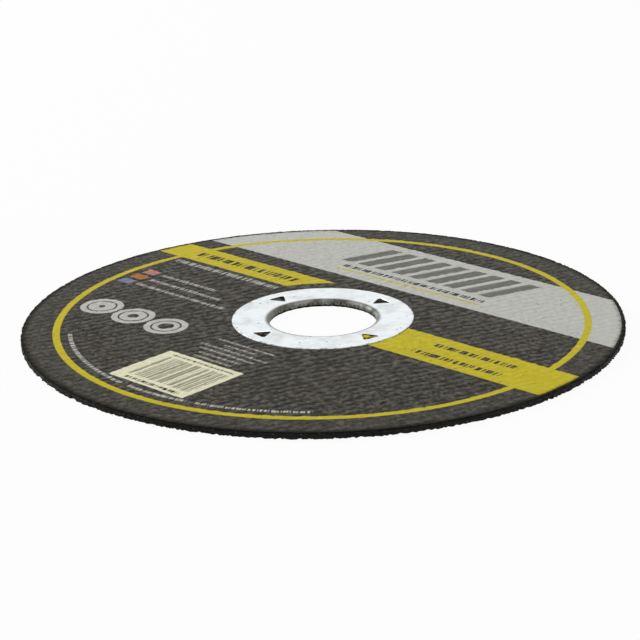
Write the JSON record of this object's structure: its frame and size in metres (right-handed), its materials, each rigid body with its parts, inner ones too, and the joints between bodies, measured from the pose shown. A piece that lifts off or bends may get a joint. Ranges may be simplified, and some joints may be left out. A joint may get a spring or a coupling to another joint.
{
  "type": "cut off wheel",
  "caption": "Thin flat abrasive cut off wheel with a woven glass back, a printed paper label on its front and a stamped steel ring lining its arbor bore.",
  "frame": {"origin": "on the arbor axis, in the plane of the back face that the wheel lies on", "axes": "+Z along the arbor axis, out of the printed face; the label reads along +X"},
  "size_m": [0.125, 0.125, 0.0015],
  "materials": {
    "abrasive": "coarse matt grain in resin",
    "label": "printed paper, matt, rippled by the glass strands",
    "ring": "bright zinc-coated sheet, lightly scuffed"
  },
  "bodies": {
    "root": {"abrasive_disc": "abrasive", "paper_label": "label", "arbor_ring": "ring"}
  },
  "joints": []
}
